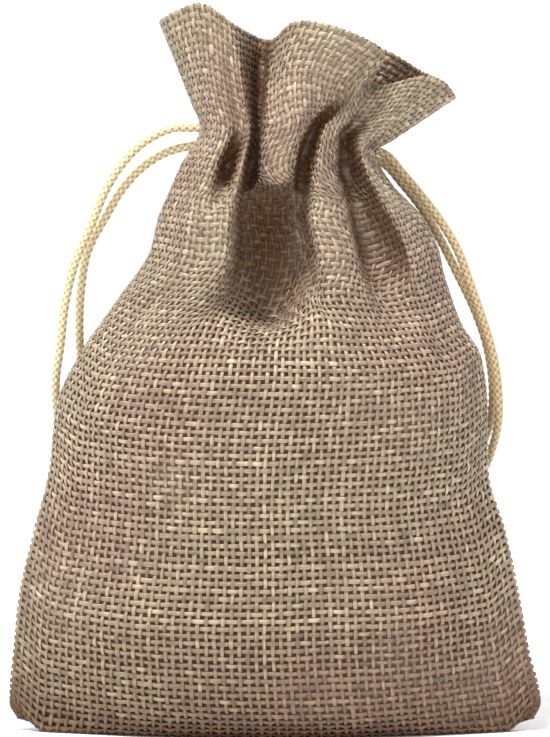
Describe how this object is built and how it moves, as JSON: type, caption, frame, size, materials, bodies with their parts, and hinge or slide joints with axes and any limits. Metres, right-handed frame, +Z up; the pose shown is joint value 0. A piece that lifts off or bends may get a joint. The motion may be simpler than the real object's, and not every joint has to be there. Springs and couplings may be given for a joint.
{
  "type": "small burlap drawstring sack",
  "caption": "Filled-out, standing burlap sack with its neck drawn into pleats under a ruffled open mouth, and knotted drawcords hanging at both sides.",
  "frame": {"origin": "middle of the sack's base, on the surface it stands on", "axes": "+X to the right seen from the front, +Y to the back, +Z up from the base to the mouth"},
  "size_m": [0.0986, 0.0427, 0.1337],
  "materials": {
    "burlap": "open plain weave of flat, slightly glossy beige tape yarns",
    "cord_braid": "round cream braid with a soft sheen"
  },
  "bodies": {
    "root": {"sack_cloth": "burlap", "cord_left_outer": "cord_braid", "cord_left_inner": "cord_braid", "cord_right_outer": "cord_braid", "cord_right_inner": "cord_braid", "knot_left": "cord_braid", "knot_right": "cord_braid"}
  },
  "joints": []
}
